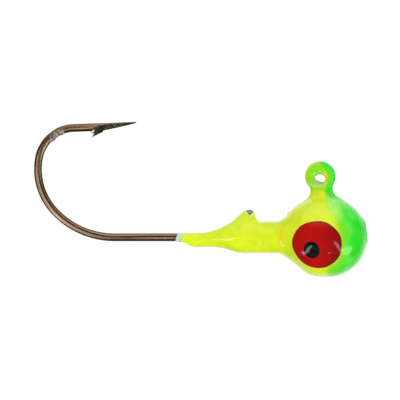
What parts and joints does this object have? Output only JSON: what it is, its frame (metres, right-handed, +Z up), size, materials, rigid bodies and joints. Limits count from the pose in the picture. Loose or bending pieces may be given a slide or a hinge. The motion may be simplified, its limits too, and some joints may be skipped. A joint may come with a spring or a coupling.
{
  "type": "fishing jig head",
  "caption": "Ball-shaped lead jig head cast round an upturned barbed hook, with a line-tie ring, a bait-keeper collar, bright paint and painted eyes.",
  "frame": {"origin": "centre of the hole in the line-tie ring, where the line or clip pulls", "axes": "+X along the hook's shank towards the nose, +Y to the head's far side, +Z up, towards the line's pull and the side the hook point is on"},
  "size_m": [0.0422, 0.0102, 0.0197],
  "materials": {
    "bronzed_wire": "bronze-plated drawn steel wire with long streaks",
    "cast_lead": "dull grey cast lead",
    "white_base": "pale satin base coat",
    "chartreuse_paint": "high gloss fluorescent yellow-green",
    "green_paint": "high gloss bright green with a soft sprayed edge",
    "red_paint": "high gloss red under clear lacquer",
    "black_paint": "high gloss black under clear lacquer",
    "dried_lacquer": "cloudy dried lacquer"
  },
  "bodies": {
    "root": {"hook": "bronzed_wire", "lead_head": "cast_lead", "base_coat": "white_base", "chartreuse_coat": "chartreuse_paint", "green_coat": "green_paint", "iris_left": "red_paint", "iris_right": "red_paint", "pupil_left": "black_paint", "pupil_right": "black_paint", "lacquer_residue": "dried_lacquer"}
  },
  "joints": []
}
